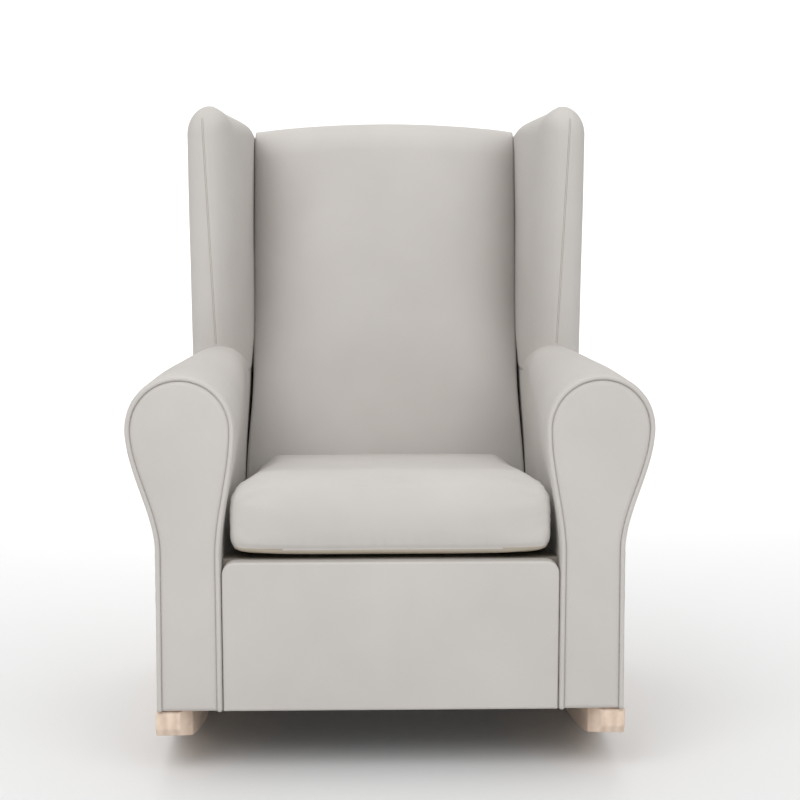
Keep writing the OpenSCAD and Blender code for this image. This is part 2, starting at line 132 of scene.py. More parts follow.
# cube turned into a box with round edges, centred on the origin
def roundedBox(half, radius, cuts):
    bm = bmesh.new()
    bmesh.ops.create_cube(bm, size=2.0)
    bmesh.ops.subdivide_edges(bm, edges=bm.edges, cuts=cuts, use_grid_fill=True)
    for vert in bm.verts:
        p = Vector([spread(c) * h for c, h in zip(vert.co, half)])
        core = Vector([max(-(h - radius), min(h - radius, c)) for c, h in zip(p, half)])
        away = p - core
        if away.length > 1e-9:
            p = core + away.normalized() * radius
        vert.co = p
    return bm


# cube turned into a cushion form: corner radius in plan, edge radii over and under
def roundSlab(half, plan, over, under, cuts):
    bm = bmesh.new()
    bmesh.ops.create_cube(bm, size=2.0)
    bmesh.ops.subdivide_edges(bm, edges=bm.edges, cuts=cuts, use_grid_fill=True)
    straight = 2 * half.z - over - under
    lengths = (under * math.pi / 2, straight, over * math.pi / 2)
    total = sum(lengths)

    def inPlan(cx, cy, inset):
        hx, hy = half.x - inset, half.y - inset
        r = max(plan - inset, 0.002)
        px, py = spread(cx) * hx, spread(cy) * hy
        ax = px - max(r - hx, min(hx - r, px))
        ay = py - max(r - hy, min(hy - r, py))
        d = math.hypot(ax, ay)
        if d > 1e-9:
            k = max(abs(ax), abs(ay)) / d
            px, py = px - ax + ax * k, py - ay + ay * k
        return px, py

    for vert in bm.verts:
        cx, cy, cz = vert.co
        if max(abs(cx), abs(cy)) > 0.9999:
            along = (cz + 1) / 2 * total
            if along < lengths[0]:
                a = along / under
                inset, z = under * (1 - math.sin(a)), under * (1 - math.cos(a))
            elif along < lengths[0] + straight:
                inset, z = 0.0, under + along - lengths[0]
            else:
                a = (along - lengths[0] - straight) / over
                inset, z = over * (1 - math.cos(a)), 2 * half.z - over + over * math.sin(a)
        else:
            inset, z = (over, 2 * half.z) if cz > 0 else (under, 0.0)
        x, y = inPlan(cx, cy, inset)
        vert.co = Vector((x, y, z - half.z))
    return bm


# crowds the rows of a cube's faces towards their edges
def spread(c):
    return math.copysign(1 - (1 - abs(c)) ** 1.35, c)


def resample(points, count):
    total = [0.0]
    for a, b in zip(points, points[1:]):
        total.append(total[-1] + (Vector(b) - Vector(a)).length)
    out = []
    k = 0
    for i in range(count):
        want = total[-1] * i / (count - 1)
        while k < len(points) - 2 and total[k + 1] < want:
            k += 1
        t = (want - total[k]) / max(1e-9, total[k + 1] - total[k])
        out.append(Vector(points[k]).lerp(Vector(points[k + 1]), t))
    return out


# round cord along each list of points
def tube(name, paths, radius, material):
    curve = bpy.data.curves.new(name, "CURVE")
    curve.dimensions = "3D"
    curve.bevel_depth = radius
    curve.bevel_resolution = 3
    curve.use_fill_caps = True
    for path in paths:
        line = curve.splines.new("POLY")
        line.points.add(len(path) - 1)
        for point, co in zip(line.points, path):
            point.co = (*co, 1)
    holder = bpy.data.objects.new(name + "Line", curve)
    bpy.context.collection.objects.link(holder)
    bpy.context.view_layer.update()
    mesh = bpy.data.meshes.new_from_object(holder.evaluated_get(bpy.context.evaluated_depsgraph_get()))
    bpy.data.objects.remove(holder)
    bm = bmesh.new()
    bm.from_mesh(mesh)
    bpy.data.meshes.remove(mesh)
    facesOut(bm)
    return toObject(bm, name, [material])


def ripple(p, size, seed=0.0):
    return noise.noise(Vector((p[0] / size + seed, p[1] / size - seed, p[2] / size)))


def place(obj, body, slotName, *nodes):
    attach(obj, body)
    if nodes:
        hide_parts(*nodes)
    return obj


# materials

def newMaterial(name):
    material = bpy.data.materials.new(name)
    material.use_nodes = True
    tree = material.node_tree
    shader = next(n for n in tree.nodes if n.type == "BSDF_PRINCIPLED")
    return material, tree, shader


def node(tree, kind, **values):
    made = tree.nodes.new(kind)
    for key, value in values.items():
        if key in made.inputs:
            made.inputs[key].default_value = value
        else:
            setattr(made, key, value)
    return made


def mathNode(tree, operation, a, b=None, c=None):
    made = tree.nodes.new("ShaderNodeMath")
    made.operation = operation
    for socket, value in zip(made.inputs, (a, b, c)):
        if value is None:
            continue
        if isinstance(value, (int, float)):
            socket.default_value = value
        else:
            tree.links.new(value, socket)
    return made.outputs[0]


def stretched(tree, source, old, new):
    made = node(tree, "ShaderNodeMapRange")
    for name, value in zip(("From Min", "From Max", "To Min", "To Max"), old + new):
        made.inputs[name].default_value = value
    tree.links.new(source.outputs[0], made.inputs["Value"])
    return made


# fine plain weave with a soft nap, laid on by the side a face looks to
def clothMaterial(name, look):
    material, tree, shader = newMaterial(name)
    links = tree.links
    coords = node(tree, "ShaderNodeTexCoord")
    split = node(tree, "ShaderNodeSeparateXYZ")
    links.new(coords.outputs["Object"], split.inputs[0])
    normal = node(tree, "ShaderNodeSeparateXYZ")
    links.new(coords.outputs["Normal"], normal.inputs[0])
    turns = 2 * math.pi / look["pitch"]
    waves = [mathNode(tree, "SINE", mathNode(tree, "MULTIPLY", out, turns)) for out in split.outputs[:3]]
    weights = [mathNode(tree, "POWER", mathNode(tree, "ABSOLUTE", out), 3.0) for out in normal.outputs[:3]]
    planes = [(1, 2), (0, 2), (0, 1)]
    weave = None
    for weight, (a, b) in zip(weights, planes):
        crossing = mathNode(tree, "MULTIPLY", waves[a], waves[b])
        part = mathNode(tree, "MULTIPLY", crossing, weight)
        weave = part if weave is None else mathNode(tree, "ADD", weave, part)
    nap = node(tree, "ShaderNodeTexNoise", Scale=look["napScale"], Detail=4.0, Roughness=0.6)
    links.new(coords.outputs["Object"], nap.inputs["Vector"])
    broad = node(tree, "ShaderNodeTexNoise", Scale=look["broadScale"], Detail=3.0, Roughness=0.55)
    links.new(coords.outputs["Object"], broad.inputs["Vector"])
    tone = stretched(tree, broad, (0.3, 0.7), (0.0, 1.0))
    fleck = stretched(tree, nap, (0.25, 0.75), (-0.5, 0.5))
    blend = mathNode(tree, "MULTIPLY_ADD", fleck.outputs[0], look["fleck"], tone.outputs[0])
    blend = mathNode(tree, "MULTIPLY_ADD", weave, look["weaveTone"], blend)
    colour = node(tree, "ShaderNodeMix", data_type="RGBA", clamp_factor=True)
    colour.inputs["A"].default_value = look["dark"] + (1,)
    colour.inputs["B"].default_value = look["light"] + (1,)
    links.new(blend, colour.inputs["Factor"])
    links.new(colour.outputs["Result"], shader.inputs["Base Color"])
    threads = mathNode(tree, "MULTIPLY", weave, look["weaveHeight"])
    height = mathNode(tree, "MULTIPLY_ADD", nap.outputs[0], look["napHeight"], threads)
    bump = node(tree, "ShaderNodeBump", Strength=look["bump"], Distance=look["depth"])
    links.new(height, bump.inputs["Height"])
    links.new(bump.outputs[0], shader.inputs["Normal"])
    least = look["rough"] - look["roughSpread"] / 2
    rough = mathNode(tree, "MULTIPLY_ADD", nap.outputs[0], look["roughSpread"], least)
    links.new(rough, shader.inputs["Roughness"])
    shader.inputs["Sheen Weight"].default_value = look["sheen"]
    shader.inputs["Sheen Roughness"].default_value = look["sheenRough"]
    shader.inputs["Sheen Tint"].default_value = look["light"] + (1,)
    shader.inputs["Specular IOR Level"].default_value = look["gloss"]
    return material


coverLook = {
    "light": (0.570, 0.545, 0.518),
    "dark": (0.530, 0.505, 0.478),
    "pitch": 0.0011,
    "napScale": 900.0,
    "broadScale": 5.0,
    "fleck": 0.35,
    "weaveTone": 0.25,
    "napHeight": 0.5,
    "weaveHeight": 0.5,
    "bump": 0.35,
    "depth": 0.0004,
    "rough": 0.86,
    "roughSpread": 0.12,
    "sheen": 0.35,
    "sheenRough": 0.45,
    "gloss": 0.25,
}
baseLook = dict(coverLook, light=(0.45, 0.40, 0.32), dark=(0.39, 0.345, 0.275), pitch=0.0014, sheen=0.15)
deckLook = dict(coverLook, light=(0.30, 0.27, 0.23), dark=(0.25, 0.225, 0.19), pitch=0.0018, sheen=0.1)
liningLook = dict(coverLook, light=(0.03, 0.03, 0.033), dark=(0.02, 0.02, 0.022), pitch=0.0022, sheen=0.1)
# seam thread colour: the stitching is real, its darkening below the cover colour is painted shade of the
# seam's crease
stitchShadeLook = dict(coverLook, light=(0.36, 0.33, 0.29), dark=(0.30, 0.27, 0.24), pitch=0.0008, sheen=0.1)

cloth = clothMaterial("coverCloth", coverLook)
baseCloth = clothMaterial("baseCloth", baseLook)
deckCloth = clothMaterial("deckCloth", deckLook)
liningCloth = clothMaterial("liningCloth", liningLook)
stitchShade = clothMaterial("seamThreadAndShade", stitchShadeLook)


# straight grain along Y with fine pores and a matt varnish
def woodMaterial(name, look):
    material, tree, shader = newMaterial(name)
    links = tree.links
    coords = node(tree, "ShaderNodeTexCoord")
    stretch = node(tree, "ShaderNodeMapping")
    stretch.inputs["Scale"].default_value = look["stretch"]
    stretch.inputs["Rotation"].default_value = look["lean"]
    links.new(coords.outputs["Object"], stretch.inputs["Vector"])
    rings = node(tree, "ShaderNodeTexWave", Scale=look["ringScale"], Distortion=look["wander"], Detail=3.0)
    rings.inputs["Detail Scale"].default_value = 1.2
    links.new(stretch.outputs[0], rings.inputs["Vector"])
    pores = node(tree, "ShaderNodeTexNoise", Scale=look["poreScale"], Detail=5.0, Roughness=0.65)
    links.new(stretch.outputs[0], pores.inputs["Vector"])
    grown = mathNode(tree, "MULTIPLY", rings.outputs[1], look["ringTone"])
    tone = mathNode(tree, "MULTIPLY_ADD", pores.outputs[0], look["poreTone"], grown)
    shades = node(tree, "ShaderNodeValToRGB")
    for stop, position, shade in zip(shades.color_ramp.elements, (0.25, 0.8), ("dark", "light")):
        stop.position = position
        stop.color = look[shade] + (1,)
    links.new(tone, shades.inputs[0])
    links.new(shades.outputs[0], shader.inputs["Base Color"])
    bump = node(tree, "ShaderNodeBump", Strength=look["bump"], Distance=look["depth"])
    links.new(tone, bump.inputs["Height"])
    links.new(bump.outputs[0], shader.inputs["Normal"])
    rough = mathNode(tree, "MULTIPLY_ADD", pores.outputs[0], look["roughSpread"], look["rough"])
    links.new(rough, shader.inputs["Roughness"])
    shader.inputs["Coat Weight"].default_value = look["coat"]
    shader.inputs["Coat Roughness"].default_value = look["coatRough"]
    return material


rockerLook = {
    "light": (0.79, 0.64, 0.52),
    "dark": (0.64, 0.49, 0.385),
    "stretch": (14.0, 1.2, 14.0),
    "lean": (0.03, 0.0, 0.05),
    "ringScale": 1.3,
    "ringTone": 0.35,
    "wander": 5.0,
    "poreScale": 9.0,
    "poreTone": 0.75,
    "bump": 0.25,
    "depth": 0.0004,
    "rough": 0.42,
    "roughSpread": 0.2,
    "coat": 0.08,
    "coatRough": 0.5,
}
frameLook = dict(rockerLook, light=(0.70, 0.50, 0.29), dark=(0.48, 0.31, 0.16), stretch=(8.0, 1.0, 8.0))
frameLook.update(ringScale=1.6, poreScale=7.0, rough=0.6, coat=0.0)
rockerWood = woodMaterial("rockerWood", rockerLook)
frameWood = woodMaterial("frameWood", frameLook)


# zinc plated, faintly mottled
def steelMaterial(name, look):
    material, tree, shader = newMaterial(name)
    links = tree.links
    shader.inputs["Metallic"].default_value = 1.0
    shader.inputs["Base Color"].default_value = look["colour"] + (1,)
    coords = node(tree, "ShaderNodeTexCoord")
    mottle = node(tree, "ShaderNodeTexNoise", Scale=look["mottleScale"], Detail=4.0)
    links.new(coords.outputs["Object"], mottle.inputs["Vector"])
    rough = mathNode(tree, "MULTIPLY_ADD", mottle.outputs[0], look["roughSpread"], look["rough"])
    links.new(rough, shader.inputs["Roughness"])
    bump = node(tree, "ShaderNodeBump", Strength=look["bump"], Distance=look["depth"])
    links.new(mottle.outputs[0], bump.inputs["Height"])
    links.new(bump.outputs[0], shader.inputs["Normal"])
    return material


steelLook = {
    "colour": (0.55, 0.56, 0.58),
    "mottleScale": 180.0,
    "rough": 0.25,
    "roughSpread": 0.25,
    "bump": 0.15,
    "depth": 0.0002,
}
steel = steelMaterial("zincSteel", steelLook)

cadMaterials = {
    "frame_wood": frameWood,
    "rocker_wood": rockerWood,
    "steel": steel,
    "webbing": liningCloth,
    "lining": liningCloth,
    "deck_cloth": deckCloth,
    "upholstery": cloth,
    "foam": baseCloth,
}
for entry in frame["record"]["subparts"]:
    part = frame["nodes"][entry["node"]]
    part.data.materials.clear()
    part.data.materials.append(cadMaterials[entry["material_slot"]])
print("materials done")


# sizes shared by the padded pieces, partly read from the frame and partly given

armLow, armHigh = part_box("arm_pad_right")
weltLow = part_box("arm_welt_right")[0]
apronLow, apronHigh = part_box("apron")
wingLow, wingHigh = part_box("wing_pad_right")
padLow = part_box("back_pad")[0]
panelLow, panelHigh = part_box("back_panel")
deckLow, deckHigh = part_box("seat_deck")

body = {
    "frontY": weltLow.y,
    "footZ": armLow.z,
    "topZ": armHigh.z,
    "outX": armHigh.x,
    "inX": apronHigh.x + 0.0006,  # inner face of the arm, just clear of the front panel
    "rollR": 0.083,               # arm roll at the front
    "rearR": 0.046,               # arm roll where it meets the back
    "waistDrop": 0.187,           # from the roll's centre down to the waist
    "waistIn": 0.042,             # how far the waist stands in from the roll
    "rearNarrow": 0.012,
    "footFlare": (0.002, 0.005),  # at the front and at the rear
    "rearOutX": wingHigh.x,
    "wingDepth": 0.425,
    "wingLead": 0.040,            # the wing's top stands this far ahead of its foot
    "armLowZ": 0.348,
    "panelThick": 0.010,
    "padThick": 0.143,
    "padTaper": 0.06,
}
body["waistZ"] = body["topZ"] - body["rollR"] - body["waistDrop"]
body["wingY"] = body["frontY"] + body["wingDepth"]
body["lowOutX"] = body["outX"] - body["waistIn"]
topZ = cadBounds[1].z
backSlope = (panelHigh.y - panelLow.y - body["panelThick"]) / (panelHigh.z - panelLow.z)


# outer face of the back at height z
def backY(z):
    return wingHigh.y - (topZ - z) * backSlope


# front of the back pad at its sides at height z
def padY(z):
    return wingHigh.y - body["padThick"] - (topZ - z) * (backSlope + body["padTaper"])


# front edge of the wings at height z
def wingFrontY(z):
    return body["wingY"] - body["wingLead"] * span(z, body["topZ"], topZ)


# outline of the arm at depth y as (x, z), from the inner foot over the roll to the outer foot
def armOutline(y, inset):
    t = min(1.0, ramp(y, body["frontY"], body["frontY"] + 2 * body["wingDepth"]) * 2)
    r = mix(body["rollR"], body["rearR"], t)
    cx = mix(body["outX"] - body["rollR"], body["rearOutX"] - body["rearR"], t)
    cz = body["topZ"] - r
    inner = body["inX"] + inset
    outer = mix(body["lowOutX"], body["lowOutX"] - body["rearNarrow"], t) - inset
    foot = outer + mix(*body["footFlare"], t)
    r -= inset
    steps, turns = 24, 40
    rise = [k / steps for k in range(steps + 1)]
    pts = [(inner, body["footZ"]), (inner, mix(body["footZ"], body["armLowZ"], 0.5))]
    pts += [(mix(inner, cx - r, ramp(k, 0, 1)), mix(body["armLowZ"], cz, k)) for k in rise]
    for i in range(1, turns):
        a = math.pi * (1 - i / turns)
        pts.append((cx + r * math.cos(a), cz + r * math.sin(a)))
    pts += [(mix(cx + r, outer, ramp(k, 0, 1)), mix(cz, body["waistZ"], k)) for k in rise]
    pts.append((foot, body["footZ"]))
    return pts


# arms: one cover over the inner arm, the roll and the outer side

armCover = {
    "columns": 150,
    "rows": 84,
    # front edge, as (depth behind the arm's front, how far the outline is drawn in)
    "lip": [
        (0.0052, 0.0046),
        (0.0053, 0.0026),
        (0.0062, 0.0012),
        (0.0082, 0.0004),
        (0.0115, 0.0),
        (0.018, 0.0),
    ],
    # rear edge, tucked behind the outer back, measured from the back's face
    "tail": [(0.030, 0.0), (0.020, 0.0012), (0.0140, 0.0045), (0.0112, 0.010), (0.0106, 0.022)],
    "sag": 0.0012,
    "sagSize": 0.16,
    "pucker": 0.0005,
    "puckerSize": 0.011,
    "underWing": 0.001,
    "thick": 0.004,
}


def armCoverMesh():
    cover = armCover
    front = [(body["frontY"] + d, inset) for d, inset in cover["lip"]]
    middle = cover["rows"] - len(cover["lip"]) - len(cover["tail"])
    count = cover["columns"] + 1
    cache = {}

    def outline(y, inset):
        key = (round(y, 6), round(inset, 6))
        if key not in cache:
            pts = [Vector((x, z)) for x, z in armOutline(y, inset)]
            cache[key] = resample(pts, count)
        return cache[key]

    def spot(u, v):
        row = round(v * (cover["rows"] - 1))
        col = round(u * cover["columns"])
        if row < len(front):
            y, inset = front[row]
            x, z = outline(y, inset)[col]
            return Vector((x, y, z))
        tail = row - len(front) - middle
        if tail >= 0:
            back, inset = cover["tail"][tail]
            x, z = outline(body["wingY"] + 0.2, inset)[col]
            return Vector((x, backY(z) - back, z))
        t = (row - len(front) + 1) / (middle + 1)
        first = front[-1][0]
        last = cover["tail"][0][0]
        x, z = outline(mix(first, backY(0.4) - last, t), 0.0)[col]
        return Vector((x, mix(first, backY(z) - last, t), z))

    bm = gridSheet(cover["columns"], cover["rows"] - 1, spot)
    bm.normal_update()
    for vert in bm.verts:
        p = vert.co
        fromLip = p.y - body["frontY"]
        soft = cover["sag"] * ripple(p, cover["sagSize"], 3.0) * span(fromLip, 0.01, 0.08)
        gather = ripple((p.x, p.y * 0.2, p.z), cover["puckerSize"], 1.0)
        tuck = cover["pucker"] * gather * (1 - span(fromLip, 0.008, 0.03))
        under = cover["underWing"] * span(p.y, body["wingY"] + 0.03, body["wingY"] + 0.05)
        vert.co = p + vert.normal * (soft + tuck - under)
    return bm


def mirrored(bm):
    bmesh.ops.scale(bm, vec=(-1, 1, 1), verts=bm.verts)
    bmesh.ops.reverse_faces(bm, faces=bm.faces)
    return bm


# turn the faces if those nearest the probe point look away from it
def outwards(bm, probe):
    bm.faces.ensure_lookup_table()
    bmesh.ops.recalc_face_normals(bm, faces=bm.faces)
    near = min(bm.faces, key=lambda f: (f.calc_center_median() - probe).length)
    if near.normal.dot(probe - near.calc_center_median()) < 0:
        bmesh.ops.reverse_faces(bm, faces=bm.faces)


for sign, side in rightLeft:
    bm = armCoverMesh()
    outwards(bm, Vector((body["outX"] + 0.05, -0.2, 0.55)))
    if sign < 0:
        mirrored(bm)
    cover = toObject(bm, "armCover_" + side, [cloth])
    shell = cover.modifiers.new("thickness", "SOLIDIFY")
    shell.thickness = armCover["thick"]
    shell.offset = -1
    place(cover, "chair", "upholstery", "arm_pad_" + side, "side_panel_" + side)
print("arm covers done")


# arm fronts: a padded facing with a cord round it

facing = {
    "inset": 0.0084,
    "rim": 0.0064,
    "front": 0.0016,
    "back": 0.0086,
    "edgeWide": 0.009,
    "swellWide": 0.060,
    "swell": 0.0009,
    "wave": 0.0005,
    "waveSize": 0.09,
    "columns": 56,
    "rows": 150,
    "cordR": 0.0036,
    "cordInset": 0.0049,
    "cordPoints": 220,
    "cordWave": 0.0002,
}


# the panel is a grid laid between the inner and the outer half of the outline
def facingMesh():
    look = facing
    pts = [Vector(p) for p in armOutline(body["frontY"], look["inset"])]
    top = max(range(len(pts)), key=lambda i: pts[i].y)
    inner = resample(pts[:top + 1], look["rows"] + 1)
    outer = resample(list(reversed(pts[top:])), look["rows"] + 1)
    edge = resample(pts, 500)
    tree = KDTree(len(edge))
    for i, p in enumerate(edge):
        tree.insert((p.x, 0, p.y), i)
    tree.balance()

    def spot(u, v):
        row = round(v * look["rows"])
        u = 0.5 - 0.5 * math.cos(math.pi * u)
        p = inner[row].lerp(outer[row], u)
        d = tree.find((p.x, 0, p.y))[2]
        if p.y < body["footZ"] + 0.02:
            d = min(d, (p.y - body["footZ"]) * 1.5)
        k = 1 - span(d, 0, look["edgeWide"])
        rise = (look["rim"] - look["front"]) * math.sqrt(max(0.0, 1 - k * k))
        swell = look["swell"] * ramp(d, 0, look["swellWide"])
        wave = look["wave"] * ripple((p.x, 0, p.y), look["waveSize"], 4.0)
        return Vector((p.x, body["frontY"] + look["rim"] - rise - swell + wave, p.y))

    bm = gridSheet(look["columns"], look["rows"], spot)
    bmesh.ops.remove_doubles(bm, verts=bm.verts, dist=1e-5)
    rim = openEdges(bm)
    made = bmesh.ops.extrude_edge_only(bm, edges=rim)
    for vert in newVerts(made):
        vert.co.y = body["frontY"] + look["back"]
    fillHoles(bm)
    facesOut(bm)
    splitLargeFaces(bm)
    return bm


for sign, side in rightLeft:
    bm = facingMesh()
    if sign < 0:
        mirrored(bm)
    panel = toObject(bm, "armFacing_" + side, [cloth])
    place(panel, "chair", "upholstery", "arm_facing_" + side)
    line = [Vector(p) for p in armOutline(body["frontY"], facing["cordInset"])]
    line = resample(line, facing["cordPoints"])
    path = []
    for x, z in line:
        y = body["frontY"] + facing["cordR"] + facing["cordWave"] * ripple((x, 0, z), 0.02)
        path.append((sign * x, y, z))
    cord = tube("armWelt_" + side, [path], facing["cordR"], cloth)
    place(cord, "chair", "upholstery", "arm_welt_" + side)
print("arm fronts done")


# wings

wing = {
    "frontR": 0.032,
    "rearR": 0.010,
    "drop": 0.029 * 1.25,       # the top falls this much from front to rear
    "tip": (0.037, 0.012),      # how far the top is rounded in, front and rear
    "tipHigh": 0.046,
    "steep": 1.24,
    "spine": (0.296, 0.304),    # the ridge the top is rounded towards
    "rows": 64,
    "turns": 14,
    "turnIn": 235,
    "lift": 0.006,
    "seam": (0.299, 0.313),
    "seamZ": (0.632, 1.020),
    "seamGap": 0.0024,
    "threadR": 0.0003,
    "groove": 0.0009,
    "grooveWide": 0.0020,
    "wave": 0.0011,
    "waveSize": 0.15,
}


def onCurve(a, b, c, d, t):
    return a * (1 - t) ** 3 + b * (3 * t * (1 - t) ** 2) + c * (3 * t * t * (1 - t)) + d * t ** 3


# outline of a wing at the part s of its height, with the top's height at each point;
# depth is how far below the top the outline lies, where the tip is rounded in
def wingRing(s, depth):
    zr = mix(wingLow.z, topZ, s)
    yf = wingFrontY(zr)
    yb = backY(zr)
    xo, xi = wingHigh.x, wingLow.x + 0.004 * (1 - span(s, 0.0, 0.12))
    r = wing["frontR"]
    cx, cy = xo - r, yf + r
    pts = []
    yp = min(yb - 0.04, padY(zr) + 0.012)
    for i in range(10):
        pts.append(Vector((xi, mix(yb - 0.004, yp, i / 9))))
    a0 = math.radians(wing["turnIn"])
    meet = Vector((cx + r * math.cos(a0), cy + r * math.sin(a0)))
    start = Vector((xi, yp))
    for i in range(1, 40):
        pts.append(onCurve(start, Vector((xi, yf + 0.08)), Vector((cx - 0.05, yf + 0.03)), meet, i / 40))
    for i in range(44):
        a = mix(a0, 2 * math.pi, i / 43)
        pts.append(Vector((cx + r * math.cos(a), cy + r * math.sin(a))))
    for i in range(1, 24):
        pts.append(Vector((xo, mix(cy, yb - 0.012, i / 23))))
    for i in range(1, 9):
        a = math.pi / 2 * i / 8
        turn = wing["rearR"] * (1 - math.cos(a))
        pts.append(Vector((xo - turn, yb - 0.012 + wing["rearR"] * math.sin(a))))
    pts.append(Vector((mix(xo, xi, 0.5), yb - 0.001)))
    out = []
    for p in pts:
        back = span(p.y, yf, yb)
        top = topZ - wing["drop"] * back + wing["lift"] * (1 - back) ** 2
        heartX = max(wing["spine"][0], min(wing["spine"][1], p.x))
        heartY = max(yf + 0.040, min(yb - 0.020, p.y))
        away = Vector((p.x - heartX, p.y - heartY))
        if away.length > 1e-6:
            reach = min(away.length, mix(*wing["tip"], ramp(back, 0.1, 0.7)))
            over = max(0.0, 1 - depth / (reach * wing["steep"]))
            p = p - away.normalized() * reach * (1 - math.sqrt(max(0.0, 1 - over * over)))
        out.append((p, top))
    return out


# rings up the wing, then closer rings over its rounded top
def wingMesh():
    bm = bmesh.new()
    flat = 1 - wing["tipHigh"] / (topZ - wingLow.z)
    steps = [(flat * k / wing["rows"], wing["tipHigh"] + 0.1) for k in range(wing["rows"] + 1)]
    for k in range(1, wing["turns"] + 1):
        a = math.pi / 2 * k / wing["turns"]
        steps.append((mix(flat, 1.0, math.sin(a)), wing["tipHigh"] * (1 - math.sin(a))))
    rings = []
    for s, depth in steps:
        rings.append([(p.x, p.y, mix(wingLow.z, top, s)) for p, top in wingRing(s, depth)])
    count = len(rings[0])
    loop = bmesh.ops.create_circle(bm, segments=count, radius=1)["verts"]
    for k, ring in enumerate(rings):
        if k:
            edges = [e for e in {e for v in loop for e in v.link_edges} if all(v in loop for v in e.verts)]
            grown = newVerts(bmesh.ops.extrude_edge_only(bm, edges=edges))
            loop = [min(grown, key=lambda g, o=v: (g.co - o.co).length_squared) for v in loop]
        for v, co in zip(loop, ring):
            v.co = Vector(co)
    fillHoles(bm)
    facesOut(bm)
    bm.normal_update()
    for vert in bm.verts:
        p = vert.co
        soft = wing["wave"] * ripple(p, wing["waveSize"], 7.0)
        dip = 0.0
        if vert.normal.y < -0.2 and p.z > wing["seamZ"][0] - 0.05:
            dip = wing["groove"] * math.exp(-((p.x - seamX(p.z)) / wing["grooveWide"]) ** 2)
        vert.co = p + vert.normal * (soft - dip)
    splitLargeFaces(bm)
    return bm


# where the seam runs down the wing's front edge
def seamX(z):
    return mix(*wing["seam"], span(z, *wing["seamZ"]))


# two fine lines of stitching down the front edge, laid on the finished wing; the stitching is real, their
# darker thread colour is painted shade of the seam's crease
def wingSeam(pad, sign):
    tree = BVHTree.FromPolygons([v.co for v in pad.data.vertices], [p.vertices for p in pad.data.polygons])
    lines = []
    for offset in (-0.5, 0.5):
        line = []
        for i in range(120):
            z = mix(*wing["seamZ"], i / 119)
            x = sign * (seamX(z) + offset * wing["seamGap"])
            hit = tree.ray_cast(Vector((x, -0.5, z)), Vector((0, 1, 0)))[0]
            if hit:
                line.append(hit)
        lines.append(line)
    return lines


for sign, side in rightLeft:
    bm = wingMesh()
    if sign < 0:
        mirrored(bm)
    pad = toObject(bm, "wingPad_" + side, [cloth])
    place(pad, "chair", "upholstery", "wing_pad_" + side)
    # the stitches take the darker thread colour, painted shade along the seam
    stitched = tube("wingStitch_" + side, wingSeam(pad, sign), wing["threadR"], stitchShade)
    place(stitched, "chair", "upholstery")
print("wings done")


# back pad and outer back

back = {
    "cornerZ": topZ - 0.029,
    "rise": 0.014,            # the top is this much higher in the middle
    "crown": 0.022,
    "edge": (0.010, 0.046),   # how far the sides fall back, low and high
    "roll": 0.050,
    "flatPart": 0.86,
    "gap": 0.0008,
    "wave": 0.0016,
    "waveSize": 0.19,
    "columns": 96,
    "rows": 110,
}


# half width of the pad: between the arms below the wings, between the wings above
def backHalf(z):
    below = ramp(z, body["armLowZ"], wingLow.z - 0.006)
    return mix(body["inX"], wingLow.x, below) - back["gap"]


# front of the back pad, then the roll over its top
def backSpot(u, v):
    x = 2 * u - 1
    x = math.copysign(abs(x) ** 0.9, x)
    top = back["cornerZ"] + back["rise"] * (1 - x * x)
    reach = back["flatPart"]
    if v < reach:
        z = mix(padLow.z, top - back["roll"], v / reach)
        lift = 0.0
    else:
        a = math.pi / 2 * (v - reach) / (1 - reach)
        z = top - back["roll"] * (1 - math.sin(a))
        lift = back["roll"] * (1 - math.cos(a))
    edge = mix(*back["edge"], ramp(z, 0.46, 0.70)) * abs(x) ** 6
    y = padY(z) - back["crown"] * (1 - x * x) + edge + lift
    return Vector((x * backHalf(z), y, z))


bm = gridSheet(back["columns"], back["rows"], backSpot)
rim = openEdges(bm)
made = bmesh.ops.extrude_edge_only(bm, edges=rim)
for vert in newVerts(made):
    vert.co.y = backY(vert.co.z) - 0.012
fillHoles(bm)
facesOut(bm)
splitLargeFaces(bm)
bm.normal_update()
for vert in bm.verts:
    vert.co += vert.normal * back["wave"] * ripple(vert.co, back["waveSize"], 11.0)
backPad = toObject(bm, "backPad", [cloth])
place(backPad, "chair", "upholstery", "back_pad")

outer = {
    "edgeIn": 0.012,
    "radius": 0.0045,
    "cuts": 30,
    "bulge": 0.003,
    "wave": 0.0008,
    "waveSize": 0.2,
}
halfThick = body["panelThick"] / 2
half = Vector((body["rearOutX"] - outer["edgeIn"], halfThick, (panelHigh.z - panelLow.z) / 2))
bm = roundedBox(half, outer["radius"], outer["cuts"])
for vert in bm.verts:
    p = vert.co
    z = p.z + (panelHigh.z + panelLow.z) / 2
    swell = outer["bulge"] * (1 - (p.x / half.x) ** 2) * (1 - (p.z / half.z) ** 2) if p.y > 0 else 0.0
    wave = outer["wave"] * ripple((p.x, 0, z), outer["waveSize"], 5.0)
    vert.co = Vector((p.x, backY(z) - halfThick + p.y + swell + wave, z))
facesOut(bm)
outerBack = toObject(bm, "outerBack", [cloth])
place(outerBack, "chair", "upholstery", "back_panel")
print("back done")


# front panel under the cushion

